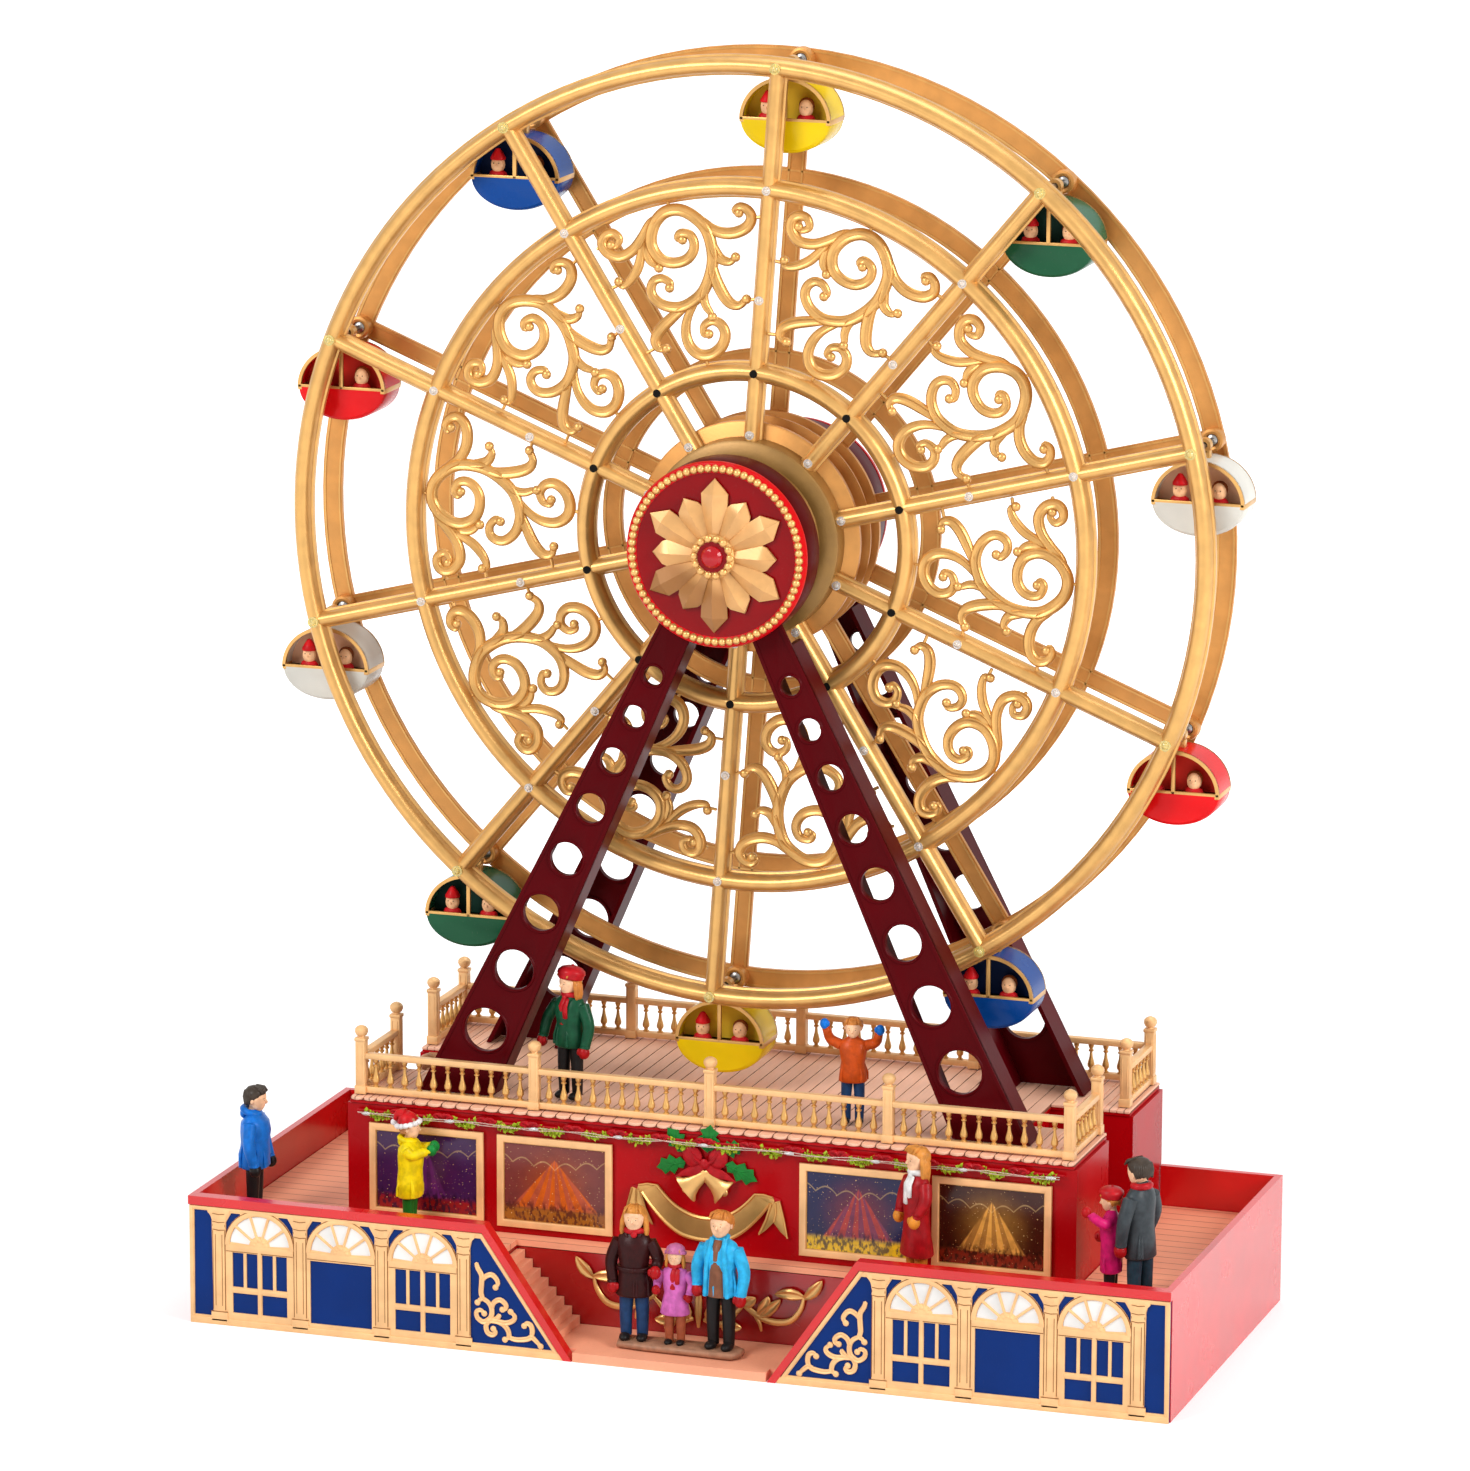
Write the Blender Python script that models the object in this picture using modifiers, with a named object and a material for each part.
"""Musical ferris wheel decoration: a motor driven wheel with ten cabins on a two level base.

Units are metres, +Z is up and the front of the decoration faces -Y.  The origin is the middle
of the underside.  Run with: blender --background --python part.py
"""
import math

import bmesh
import bpy
from mathutils import Matrix, Vector

# Fits
GAP = 0.0003
BORE_CLEARANCE = 0.0003
OVERLAP = 0.0010
OVERRUN = 0.0100

# Base tray
BASE_WIDTH = 0.3413
BASE_DEPTH = 0.1451
TRAY_HEIGHT = 0.0443
TRAY_WALL = 0.0024
SHELF_TOP = 0.0280
SHELF_THICKNESS = 0.0020
FLOOR_THICKNESS = 0.0020
COVER_THICKNESS = 0.0020

# Facade wings and the opening between them
OPENING_HALF_LOW = 0.0340
OPENING_HALF_HIGH = 0.0646
TRIM_HEIGHT = 0.0030
SLOPE_TRIM = 0.0030
POCKET_DEPTH = 0.0021
FACADE_BACK = 0.0010
FACADE_RELIEF = 0.0007
FACADE_RIM = 0.0010
FACADE_SILL = 0.0030
PILASTER_WIDTH = 0.0042
BAY_WIDTH = 0.0292
DOOR_SILL = 0.0052
SPRING_HEIGHT = 0.0262
ARCH_RADIUS = 0.0110
END_STRIP = 0.0085

# Landing, steps and the wall behind them
LANDING_DEPTH = 0.0318
LEDGE_DEPTH = 0.00695
LANDING_THICKNESS = 0.0032
STEP_COUNT = 8
STEP_RUN = 0.0028

# House and its deck
HOUSE_HALF_WIDTH = 0.1280
HOUSE_WALL = 0.0022
NOTCH_INNER = 0.0985
NOTCH_FRONT = 0.0044
NOTCH_REAR = 0.0348
DECK_TOP = 0.0729
DECK_THICKNESS = 0.0020
DECK_OVERHANG = 0.0010

# Balustrades
RAIL_POST = 0.0034
RAIL_INSET = 0.0020
POST_HEIGHT = 0.0195
BALL_RADIUS = 0.0023
BOTTOM_RAIL = 0.0026
TOP_RAIL_HEIGHT = 0.0142
TOP_RAIL_THICKNESS = 0.0020
RAIL_WIDTH = 0.0024
BALUSTERS_PER_BAY = 11
BALUSTERS_PER_RETURN = 6
BALUSTER_FOOT = 0.0019
BALUSTER_HEAD = 0.0010
FRONT_BAYS = 4

# Wheel
CABIN_CLEARANCE = 0.0063
WHEEL_MID_Y = 0.01885
WHEEL_SPREAD = 0.0247
REST_TURN = math.radians(3.94)
SPOKES = 10
PIN_CIRCLE = 0.1575
MID_RING = 0.1172
INNER_RING = 0.0561
RING_WIDTH = 0.0069
RING_DEPTH = 0.0060
SPOKE_WIDTH = 0.0062
SPOKE_DEPTH = 0.0052
SPOKE_RECESS = 0.0003
HUB_PLATE_RADIUS = 0.0335
HUB_PLATE_DEPTH = 0.0099
HUB_DRUM_RADIUS = 0.0394
OUTER_STEPS = 40
MID_STEPS = 30
INNER_STEPS = 20

# Scroll panels of the front wheel
SCROLL_DEPTH = 0.0018
SCROLL_BACK = 0.0008
STROKE_HALF = 0.0014
STROKE_TIP = 0.0011

# Cabins
CABIN_WIDTH = 0.0315
CABIN_DEPTH = 0.0158
CABIN_DROP = 0.0184
CABIN_ARCH = 0.0145
CABIN_BELLY = 0.0108
CABIN_RIM = 0.0012
CABIN_RAIL = 0.0013
CABIN_MIDWALL = 0.0028
PIN_RADIUS = 0.0010
EYE_RADIUS = 0.0025
EYE_DEPTH = 0.0030
BOSS_RADIUS = 0.0040
BOSS_END_GAP = 0.0005

# Supports, hub drums and drive
LEG_SETBACK = 0.00414
LEG_DEPTH = 0.0119
LEG_SKIN = 0.0016
LEG_TOP_X = 0.0170
LEG_TOP_DROP = 0.0290
LEG_FOOT_X = 0.0945
LEG_TOP_WIDTH = 0.0132
LEG_FOOT_WIDTH = 0.0266
HOLE_COUNT = 8
HOLE_FIRST_DROP = 0.0145
HOLE_FIRST_RADIUS = 0.0034
HOLE_GROWTH = 0.0006
HOLE_STEP = 0.0143
HOLE_STEP_GROWTH = 0.00124
HOLE_SIDES = 8
DRUM_RADIUS = 0.0311
DRUM_WALL = 0.0018
DRUM_SIDES = 22
DRUM_DEPTH = 0.0130
DRUM_CLEARANCE = 0.0077
COVER_DEPTH = 0.0024
COVER_BEVEL = 0.0008
AXLE_RADIUS = 0.0030
GEAR_TEETH = 16
PINION_TEETH = 7
GEAR_THICKNESS = 0.0030
GEAR_SIDE_GAP = 0.0006
GEAR_BACKLASH = 0.0002
MOTOR_SIDE_GAP = 0.0004
MOTOR_WALL_GAP = 0.00205
MOTOR_RADIUS = 0.0075
MOTOR_LENGTH = 0.0050
SHAFT_RADIUS = 0.0010

# Ornaments
STAR_POINTS = 12
STAR_LONG = 0.0258
STAR_SHORT = 0.0214
STAR_VALLEY = 0.0140
STAR_DEPTH = 0.0026
STAR_EDGE = 0.0007
GEM_RADIUS = 0.0043
GEM_SEAT = 0.0062
FRAME_WIDTH = 0.0410
FRAME_HEIGHT = 0.0318
FRAME_BORDER = 0.0024
FRAME_DEPTH = 0.0014
FRAME_LIFT = 0.0184
FRAME_BACKING = 0.0005
FRAME_CENTRES_X = (-0.0993, -0.0534, 0.0534, 0.0993)
BANNER_HALF_SPAN = 0.0235
BANNER_WIDTH = 0.0075
BANNER_LIFT = 0.0042
BANNER_SAG = 0.0125
RELIEF_DEPTH = 0.0012
HOLLY_DROP = 0.0114
HOLLY_ANGLES = (18, 58)
LEAF_LENGTH = 0.0116
LEAF_HALF = 0.0026
BOW_HALF = 0.0042
BELL_LENGTH = 0.0105
BELL_CROWN = 0.0010
BELL_MOUTH = 0.0034
VINE_HALF = 0.0011
VINE_TIP = 0.0007
GARLAND_DROP = 0.0047
GARLAND_RADIUS = 0.0011
GARLAND_STEPS = 16
STRING_RADIUS = 0.0004
STRING_STEPS = 12

# People, whose proportions are in tenths of their height
STAND_OFF = 0.0102
FAMILY_SETBACK = 0.01455
FAMILY_BASE = 0.0022
HAND_DOWN = (1.75, -0.6, 4.3)
HAND_UP = (3.05, -0.6, 8.7)
HAND_AT_FACE = (0.5, -2.0, 7.8)

# Electrics in the base
SPEAKER_X = 0.0900
SPEAKER_Y = 0.0100
SPEAKER_RADIUS = 0.0200
SLOT_WIDTH = 0.0024
SPEAKER_HEIGHT = 0.0090
PANEL_WIDTH = 0.0460
PANEL_HEIGHT = 0.0150
PANEL_X = -0.0700
PANEL_Z = 0.0145
PANEL_THICKNESS = 0.0016
KNOB_RADIUS = 0.0050
KNOB_SHAFT = 0.0015
KNOB_RIDGES = 8
RIDGE_DEPTH = 0.0004
SWITCH_TRAVEL = 0.0030
SLIDER_HALF = 0.0020
SLIDER_TALL = 0.0015
SLIDER_FOOT_HALF = 0.0060
SLIDER_FOOT_TALL = 0.0030
JACK_RADIUS = 0.0032
JACK_BORE = 0.0021
JACK_FLANGE = 0.0050
JACK_REACH = 0.0080

HALF_W = BASE_WIDTH / 2
HALF_D = BASE_DEPTH / 2
FLOOR_BOTTOM = SHELF_TOP + GAP
FLOOR_TOP = FLOOR_BOTTOM + FLOOR_THICKNESS
HOUSE_BASE = SHELF_TOP + GAP
HOUSE_TOP = DECK_TOP - DECK_THICKNESS - GAP
LANDING_BACK = -HALF_D + LANDING_DEPTH
HOUSE_FRONT = LANDING_BACK + LEDGE_DEPTH
FRAME_CENTRE_Z = FLOOR_TOP + FRAME_LIFT
BANNER_LOW = FLOOR_TOP + BANNER_LIFT
GARLAND_HEIGHT = DECK_TOP - GARLAND_DROP
HOLLY_HEIGHT = GARLAND_HEIGHT - HOLLY_DROP
AXLE_HEIGHT = DECK_TOP + CABIN_CLEARANCE + CABIN_BELLY + CABIN_DROP + PIN_CIRCLE
LEG_TOP_Z = AXLE_HEIGHT - LEG_TOP_DROP
HOLE_FIRST_Z = LEG_TOP_Z - HOLE_FIRST_DROP
FRONT_FLAT_Y = WHEEL_MID_Y - WHEEL_SPREAD / 2
REAR_FLAT_Y = WHEEL_MID_Y + WHEEL_SPREAD / 2
DRUM_FRONT = FRONT_FLAT_Y - HUB_PLATE_DEPTH - DRUM_CLEARANCE - DRUM_DEPTH
LEG_FACE_Y = DRUM_FRONT + LEG_SETBACK
MOTOR_OFFSET = DRUM_RADIUS - DRUM_WALL - MOTOR_WALL_GAP - MOTOR_RADIUS
GEAR_MODULE = 2 * (MOTOR_OFFSET - GEAR_BACKLASH) / (GEAR_TEETH + PINION_TEETH)
HOUSE_OUTLINE = (
    (-HOUSE_HALF_WIDTH, HOUSE_FRONT), (HOUSE_HALF_WIDTH, HOUSE_FRONT),
    (HOUSE_HALF_WIDTH, NOTCH_FRONT), (NOTCH_INNER, NOTCH_FRONT),
    (NOTCH_INNER, NOTCH_REAR), (HOUSE_HALF_WIDTH, NOTCH_REAR),
    (HOUSE_HALF_WIDTH, HALF_D), (-HOUSE_HALF_WIDTH, HALF_D),
    (-HOUSE_HALF_WIDTH, NOTCH_REAR), (-NOTCH_INNER, NOTCH_REAR),
    (-NOTCH_INNER, NOTCH_FRONT), (-HOUSE_HALF_WIDTH, NOTCH_FRONT))

for old in list(bpy.data.objects):
    bpy.data.objects.remove(old, do_unlink=True)

PARTS = bpy.data.collections.new("ferris_wheel_decoration")
BENCH = bpy.data.collections.new("workbench")
bpy.context.scene.collection.children.link(PARTS)
bpy.context.scene.collection.children.link(BENCH)


def material(name, colour, roughness, metallic=0.0):
    """A Principled material, also shown in the viewport."""
    mat = bpy.data.materials.new(name)
    mat.use_nodes = True
    shader = mat.node_tree.nodes["Principled BSDF"]
    shader.inputs["Base Color"].default_value = (*colour, 1.0)
    shader.inputs["Roughness"].default_value = roughness
    shader.inputs["Metallic"].default_value = metallic
    mat.diffuse_color = (*colour, 1.0)
    return mat


RED = material("red_plastic", (0.60, 0.02, 0.03), 0.35)
HOUSE_RED = material("house_red_plastic", (0.30, 0.01, 0.03), 0.40)
MAROON = material("maroon_plastic", (0.16, 0.01, 0.015), 0.35)
GOLD = material("gold_paint", (0.72, 0.45, 0.13), 0.30, 0.75)
CREAM_GOLD = material("cream_gold_paint", (0.85, 0.60, 0.28), 0.45, 0.3)
TAN = material("tan_plastic", (0.72, 0.42, 0.28), 0.55)
BLACK = material("black_plastic", (0.02, 0.02, 0.02), 0.50)
STEEL = material("steel", (0.60, 0.60, 0.62), 0.30, 1.0)
NYLON = material("white_nylon", (0.80, 0.80, 0.76), 0.45)
LEAF = material("leaf_green", (0.02, 0.25, 0.04), 0.45)
WIRE = material("clear_wire", (0.85, 0.82, 0.78), 0.25)
CABIN_PAINTS = (
    material("yellow_paint", (0.85, 0.65, 0.02), 0.30),
    material("green_paint", (0.02, 0.16, 0.09), 0.30),
    material("white_paint", (0.80, 0.80, 0.78), 0.30),
    material("bright_red_paint", (0.70, 0.02, 0.03), 0.30),
    material("blue_paint", (0.01, 0.07, 0.35), 0.30))
CLOTHES = {
    "figure_man_blue_jacket": material("blue_jacket", (0.02, 0.14, 0.50), 0.5),
    "figure_child_yellow_jumper": material("yellow_jumper", (0.85, 0.70, 0.02), 0.5),
    "figure_boy_green_jacket": material("green_jacket", (0.01, 0.10, 0.05), 0.5),
    "figure_boy_orange_jumper": material("orange_jumper", (0.60, 0.13, 0.02), 0.5),
    "figure_family": material("family_clothes", (0.10, 0.03, 0.03), 0.5),
    "figure_woman_red_coat": material("red_coat", (0.50, 0.01, 0.02), 0.5),
    "figure_father_and_girl": material("grey_jacket", (0.06, 0.07, 0.08), 0.5),
    "figure_child_beige_coat": material("beige_coat", (0.70, 0.55, 0.32), 0.5)}


def new_object(name, mesh, location=(0.0, 0.0, 0.0)):
    """An object on the workbench."""
    obj = bpy.data.objects.new(name, mesh)
    obj.location = location
    BENCH.objects.link(obj)
    return obj


def baked(obj):
    """The object as one plain mesh in world space, with the source removed."""
    bpy.context.view_layer.update()
    graph = bpy.context.evaluated_depsgraph_get()
    mesh = bpy.data.meshes.new_from_object(obj.evaluated_get(graph))
    mesh.transform(obj.matrix_world)
    work = bmesh.new()
    work.from_mesh(mesh)
    bmesh.ops.remove_doubles(work, verts=work.verts, dist=0.000002)
    bmesh.ops.recalc_face_normals(work, faces=work.faces)
    work.to_mesh(mesh)
    work.free()
    name = obj.name
    bpy.data.objects.remove(obj, do_unlink=True)
    return new_object(name, mesh)


def from_bmesh(work, matrix=Matrix.Identity(4)):
    """A workbench object from a bmesh, moved by a matrix."""
    bmesh.ops.transform(work, matrix=matrix, verts=work.verts)
    bmesh.ops.recalc_face_normals(work, faces=work.faces)
    mesh = bpy.data.meshes.new("solid")
    work.to_mesh(mesh)
    work.free()
    return new_object("solid", mesh)


def box(x_range, y_range, z_range):
    """A block between three pairs of limits."""
    limits = (x_range, y_range, z_range)
    middle = Vector([(low + high) / 2 for low, high in limits])
    size = [high - low for low, high in limits]
    work = bmesh.new()
    bmesh.ops.create_cube(work, size=1.0)
    return from_bmesh(work, Matrix.Translation(middle) @ Matrix.Diagonal((*size, 1.0)))


def cone(start, end, radius_start, radius_end, sides=24, turn=0.0):
    """A round bar or a taper from one point to another."""
    start = Vector(start)
    end = Vector(end)
    along = end - start
    work = bmesh.new()
    bmesh.ops.create_cone(work, cap_ends=True, segments=sides, radius1=radius_start,
                          radius2=radius_end, depth=along.length)
    aim = along.to_track_quat("Z", "Y").to_matrix().to_4x4()
    spin = Matrix.Rotation(turn, 4, "Z")
    return from_bmesh(work, Matrix.Translation((start + end) / 2) @ aim @ spin)


def rod(start, end, radius, sides=24, turn=0.0):
    """A round bar from one point to another."""
    return cone(start, end, radius, radius, sides, turn)


def ball(centre, radius, sides=6, rings=4, stretch=(1.0, 1.0, 1.0)):
    """A sphere, or an egg when stretched."""
    work = bmesh.new()
    bmesh.ops.create_uvsphere(work, u_segments=sides, v_segments=rings, radius=radius)
    return from_bmesh(work, Matrix.Translation(centre) @ Matrix.Diagonal((*stretch, 1.0)))


def flat(outlines, low, high, facing="Y"):
    """A flat plate from an outline and its holes, thick from low to high along one axis."""
    curve = bpy.data.curves.new("flat", "CURVE")
    curve.dimensions = "2D"
    curve.fill_mode = "BOTH"
    curve.extrude = (high - low) / 2
    for outline in outlines:
        spline = curve.splines.new("POLY")
        spline.points.add(len(outline) - 1)
        for point, (across, up) in zip(spline.points, outline):
            point.co = (across, up, 0.0, 1.0)
        spline.use_cyclic_u = True
    obj = new_object("flat", curve)
    if facing == "Y":
        obj.rotation_euler = (math.radians(90), 0.0, 0.0)
        obj.location = (0.0, (low + high) / 2, 0.0)
    else:
        obj.location = (0.0, 0.0, (low + high) / 2)
    return baked(obj)


def turned(profile, steps, closed=False):
    """A shape turned about the Y axis from (radius, y) pairs, closed into a ring if asked."""
    mesh = bpy.data.meshes.new("profile")
    edges = [(i, i + 1) for i in range(len(profile) - 1)]
    if closed:
        edges.append((len(profile) - 1, 0))
    mesh.from_pydata([(radius, 0.0, -y) for radius, y in profile], edges, [])
    obj = new_object("turned", mesh)
    screw = obj.modifiers.new("Turn", "SCREW")
    screw.steps = steps
    screw.render_steps = steps
    screw.use_merge_vertices = True
    screw.merge_threshold = 0.000002
    obj.rotation_euler = (math.radians(90), 0.0, 0.0)
    return baked(obj)


def tube(points, radius, resolution=0, radii=None):
    """A capped tube through a list of points."""
    curve = bpy.data.curves.new("tube", "CURVE")
    curve.dimensions = "3D"
    curve.bevel_depth = radius
    curve.bevel_resolution = resolution
    curve.use_fill_caps = True
    spline = curve.splines.new("POLY")
    spline.points.add(len(points) - 1)
    for index, point in enumerate(points):
        spline.points[index].co = (*point, 1.0)
        spline.points[index].radius = radii[index] if radii else 1.0
    return baked(new_object("tube", curve))


def boolean(target, others, operation):
    """The target joined with, or cut by, all the other solids at once."""
    group = bpy.data.collections.new("operands")
    bpy.context.scene.collection.children.link(group)
    for other in others:
        group.objects.link(other)
    modifier = target.modifiers.new("Boolean", "BOOLEAN")
    modifier.operation = operation
    modifier.operand_type = "COLLECTION"
    modifier.collection = group
    modifier.solver = "EXACT"
    result = baked(target)
    for other in others:
        bpy.data.objects.remove(other, do_unlink=True)
    bpy.data.collections.remove(group)
    return result


def joined(pieces):
    """One solid from overlapping ones."""
    return boolean(pieces[0], pieces[1:], "UNION")


def cut(target, cutters):
    """The target with the cutters taken away."""
    return boolean(target, cutters, "DIFFERENCE")


def moved(obj, matrix):
    """The solid after a move, turn or mirror."""
    mesh = obj.data
    mesh.transform(matrix)
    if matrix.determinant() < 0.0:
        mesh.flip_normals()
    return obj


def copies(obj, matrices):
    """One copy of the solid for each matrix, with the original removed."""
    made = [moved(new_object("copy", obj.data.copy()), matrix) for matrix in matrices]
    bpy.data.objects.remove(obj, do_unlink=True)
    return made


def simplified(obj):
    """The solid with flat areas and straight edges freed of needless points."""
    work = bmesh.new()
    work.from_mesh(obj.data)
    bmesh.ops.dissolve_limit(work, angle_limit=math.radians(0.3), verts=work.verts,
                             edges=work.edges)
    work.to_mesh(obj.data)
    work.free()
    return obj


def finish(obj, name, mat, origin=(0.0, 0.0, 0.0), parent=None, smooth=True):
    """Name the sub-part, give it its material and put its origin on its axis."""
    simplified(obj)
    obj.name = name
    obj.data.name = name
    obj.data.materials.clear()
    obj.data.materials.append(mat)
    obj.data.transform(Matrix.Translation(-Vector(origin)))
    obj.location = origin
    if parent:
        obj.parent = parent
        obj.matrix_parent_inverse = parent.matrix_world.inverted()
    if smooth:
        obj.data.shade_smooth()
        obj.data.set_sharp_from_angle(angle=math.radians(40))
    BENCH.objects.unlink(obj)
    PARTS.objects.link(obj)
    return obj


def axis_empty(name, location):
    """An empty that marks a joint's axis."""
    empty = bpy.data.objects.new(name, None)
    empty.location = location
    empty.empty_display_size = 0.01
    PARTS.objects.link(empty)
    bpy.context.view_layer.update()
    return empty


def mirror_x():
    """A mirror in the plane between left and right."""
    return Matrix.Diagonal((-1.0, 1.0, 1.0, 1.0))


def mirror_y(plane):
    """A mirror in a plane across Y."""
    return Matrix.Translation((0.0, 2 * plane, 0.0)) @ Matrix.Diagonal((1.0, -1.0, 1.0, 1.0))


def arc(centre, radius, start, end, steps, squash=1.0):
    """Points along an arc, with angles in degrees from +X."""
    points = []
    for step in range(steps + 1):
        angle = math.radians(start + (end - start) * step / steps)
        points.append((centre[0] + radius * math.cos(angle),
                       centre[1] + radius * squash * math.sin(angle)))
    return points


def rectangle(x_low, x_high, y_low, y_high):
    """The outline of a rectangle."""
    return [(x_low, y_low), (x_high, y_low), (x_high, y_high), (x_low, y_high)]


def inset_house(inset):
    """The house's plan, drawn in by an inset on every side."""
    lengthwise = {HOUSE_FRONT: inset, NOTCH_FRONT: -inset, NOTCH_REAR: inset, HALF_D: -inset}
    return [(x - math.copysign(inset, x), y + lengthwise[y]) for x, y in HOUSE_OUTLINE]


def opening_edge(height):
    """Half the width of the front opening at a height."""
    share = height / TRAY_HEIGHT
    return OPENING_HALF_LOW + (OPENING_HALF_HIGH - OPENING_HALF_LOW) * share


def wing_outline(grow_slope, bottom, top, outer):
    """A facade wing on the right: upright at its outer end, sloping at the opening."""
    low = opening_edge(bottom) + grow_slope
    high = opening_edge(top) + grow_slope
    return [(low, bottom), (outer, bottom), (outer, top), (high, top)]


def make_tray():
    """Outer walls, the shelf inside them and the wall behind the landing, in one moulding."""
    above = TRAY_HEIGHT + OVERRUN
    below = -OVERRUN
    tray = box((-HALF_W, HALF_W), (-HALF_D, HALF_D), (0.0, TRAY_HEIGHT))
    inner_front = -HALF_D + POCKET_DEPTH + TRAY_WALL
    upper = box((-HALF_W + TRAY_WALL, HALF_W - TRAY_WALL), (inner_front, HALF_D - TRAY_WALL),
                (SHELF_TOP, above))
    house_seat = box((-HOUSE_HALF_WIDTH - GAP, HOUSE_HALF_WIDTH + GAP), (0.0, HALF_D + OVERRUN),
                     (SHELF_TOP, above))
    recess_half = OPENING_HALF_HIGH + GAP
    recess_wall = recess_half + TRAY_WALL
    lower_plan = [
        (-HALF_W + TRAY_WALL, inner_front), (-recess_wall, inner_front),
        (-recess_wall, LANDING_BACK + TRAY_WALL), (recess_wall, LANDING_BACK + TRAY_WALL),
        (recess_wall, inner_front), (HALF_W - TRAY_WALL, inner_front),
        (HALF_W - TRAY_WALL, HALF_D - TRAY_WALL), (-HALF_W + TRAY_WALL, HALF_D - TRAY_WALL)]
    lower = flat([lower_plan], below, SHELF_TOP - SHELF_THICKNESS, "Z")
    recess = box((-recess_half, recess_half), (inner_front, LANDING_BACK), (below, above))
    gate = flat([[(-opening_edge(below), below), (opening_edge(below), below),
                  (opening_edge(above), above), (-opening_edge(above), above)]],
                -HALF_D - OVERRUN, inner_front + OVERLAP)
    pocket_top = TRAY_HEIGHT - TRIM_HEIGHT
    pocket = flat([wing_outline(SLOPE_TRIM, below, pocket_top, HALF_W + OVERRUN)],
                  -HALF_D - OVERRUN, -HALF_D + POCKET_DEPTH)
    other_pocket = moved(new_object("copy", pocket.data.copy()), mirror_x())
    window = box((PANEL_X - PANEL_WIDTH / 2, PANEL_X + PANEL_WIDTH / 2), (0.0, HALF_D + OVERRUN),
                 (PANEL_Z - PANEL_HEIGHT / 2, PANEL_Z + PANEL_HEIGHT / 2))
    tray = cut(tray, [upper])
    tray = cut(tray, [lower])
    tray = cut(tray, [recess])
    tray = cut(tray, [gate])
    tray = cut(tray, [pocket, other_pocket])
    tray = cut(tray, [house_seat])
    tray = cut(tray, [window])
    finish(tray, "base_tray", RED, smooth=False)


def make_bottom_cover():
    """The plate that closes the base, with slots for the sound."""
    inner_front = -HALF_D + POCKET_DEPTH + TRAY_WALL + GAP
    inner_rear = HALF_D - TRAY_WALL - GAP
    inner_side = HALF_W - TRAY_WALL - GAP
    recess_wall = OPENING_HALF_HIGH + TRAY_WALL + 2 * GAP
    behind = LANDING_BACK + TRAY_WALL + GAP
    plan = [(-inner_side, inner_front), (-recess_wall, inner_front), (-recess_wall, behind),
            (recess_wall, behind), (recess_wall, inner_front), (inner_side, inner_front),
            (inner_side, inner_rear), (-inner_side, inner_rear)]
    slots = []
    for slot in range(-2, 3):
        x = SPEAKER_X + slot * SPEAKER_RADIUS / 3
        half = math.sqrt(SPEAKER_RADIUS ** 2 - (slot * SPEAKER_RADIUS / 3) ** 2) * 0.8
        slots.append(rectangle(x - SLOT_WIDTH / 2, x + SLOT_WIDTH / 2,
                               SPEAKER_Y - half, SPEAKER_Y + half))
    cover = flat([plan] + slots, 0.0, COVER_THICKNESS, "Z")
    finish(cover, "bottom_cover", BLACK, smooth=False)


def make_floor():
    """The promenade round the house, with the ledge over the landing wall."""
    side = HALF_W - TRAY_WALL - GAP
    front = -HALF_D + POCKET_DEPTH + TRAY_WALL + GAP
    rear = HALF_D - TRAY_WALL - GAP
    gate = OPENING_HALF_HIGH + GAP
    ledge = LANDING_BACK
    house = HOUSE_HALF_WIDTH + GAP
    notch = NOTCH_INNER + GAP
    half_plan = [
        (gate, ledge), (gate, front), (side, front), (side, rear), (house, rear),
        (house, NOTCH_REAR - GAP), (notch, NOTCH_REAR - GAP), (notch, NOTCH_FRONT + GAP),
        (house, NOTCH_FRONT + GAP), (house, HOUSE_FRONT - GAP)]
    plan = half_plan + [(-x, y) for x, y in reversed(half_plan)]
    floor = flat([plan], FLOOR_BOTTOM, FLOOR_TOP, "Z")
    finish(floor, "promenade_floor", TAN, smooth=False)


def make_landing():
    """The landing slab with a flight of steps up each side."""
    rise = (FLOOR_TOP - LANDING_THICKNESS) / (STEP_COUNT + 1)
    outline = [(OPENING_HALF_HIGH, 0.0)]
    x = OPENING_HALF_HIGH
    for step in range(STEP_COUNT, 0, -1):
        height = LANDING_THICKNESS + step * rise
        outline.append((x, height))
        x -= STEP_RUN
        outline.append((x, height))
    outline.append((x, LANDING_THICKNESS))
    half = [(-px, pz) for px, pz in reversed(outline)]
    front = -HALF_D + POCKET_DEPTH + TRAY_WALL + GAP
    steps = flat([outline + half], front, LANDING_BACK - GAP)
    tongue_half = OPENING_HALF_LOW - GAP
    tongue = box((-tongue_half, tongue_half), (-HALF_D, front + OVERLAP),
                 (0.0, LANDING_THICKNESS))
    finish(joined([steps, tongue]), "landing_and_steps", TAN, smooth=False)


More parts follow.
